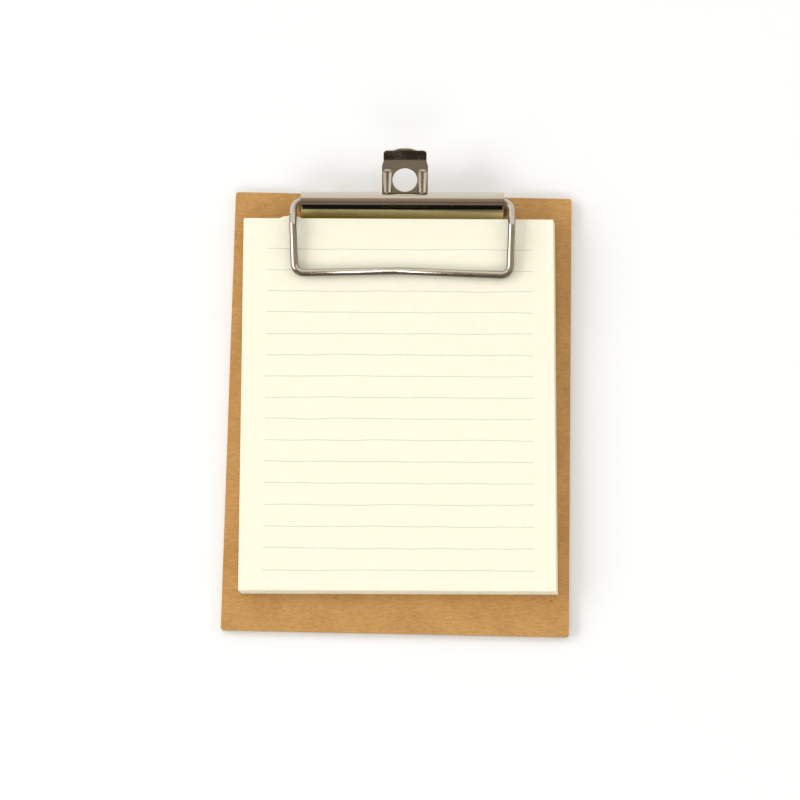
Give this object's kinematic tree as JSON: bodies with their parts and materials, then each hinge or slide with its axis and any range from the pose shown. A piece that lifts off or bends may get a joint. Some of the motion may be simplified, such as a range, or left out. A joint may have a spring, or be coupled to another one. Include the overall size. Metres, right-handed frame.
{
  "type": "clipboard",
  "caption": "Pocket clipboard: laminated kraft board, riveted wire clip with a thumb lever, and a stack of ruled sheets held under the wire.",
  "frame": {"origin": "centre of the board's back face", "axes": "+X to the right and +Y to the edge that carries the clip, both along the board's edges; +Z out of the writing side"},
  "size_m": [0.112, 0.1577, 0.0199],
  "materials": {
    "board_core": "matte",
    "kraft_liner": "matte",
    "clip_plate": "bright nickel plate",
    "spring_wire": "bright nickel plate",
    "rivets": "bright nickel plate",
    "note_paper": "uncoated, ruled"
  },
  "bodies": {
    "board": {"board_core": "board_core", "front_liner": "kraft_liner", "back_liner": "kraft_liner", "clip_base": "clip_plate", "rivet_left": "rivets", "rivet_right": "rivets"},
    "clamp": {"wire_bail": "spring_wire", "thumb_lever": "clip_plate"},
    "paper": {"sheet_01": "note_paper", "sheet_02": "note_paper", "sheet_03": "note_paper", "sheet_04": "note_paper", "sheet_05": "note_paper", "sheet_06": "note_paper", "sheet_07": "note_paper", "sheet_08": "note_paper", "sheet_09": "note_paper", "sheet_10": "note_paper", "sheet_11": "note_paper", "sheet_12": "note_paper", "sheet_13": "note_paper", "sheet_14": "note_paper", "sheet_15": "note_paper", "sheet_16": "note_paper", "sheet_17": "note_paper", "sheet_18": "note_paper", "sheet_19": "note_paper", "sheet_20": "note_paper", "sheet_21": "note_paper", "sheet_22": "note_paper", "sheet_23": "note_paper", "sheet_24": "note_paper", "sheet_25": "note_paper", "sheet_26": "note_paper", "sheet_27": "note_paper", "sheet_28": "note_paper", "sheet_29": "note_paper", "sheet_30": "note_paper"}
  },
  "joints": [
    {"name": "bail_hinge", "type": "hinge", "parent": "board", "child": "clamp", "pos_m": [-0.0004, 0.06934, 0.0085], "axis": [-0.9998, -0.0175, 0], "range_deg": [0, 45]},
    {"name": "paper_slide", "type": "slide", "parent": "board", "child": "paper", "axis": [0.0168, -0.9999, 0], "range_m": [0, 0.14]}
  ]
}
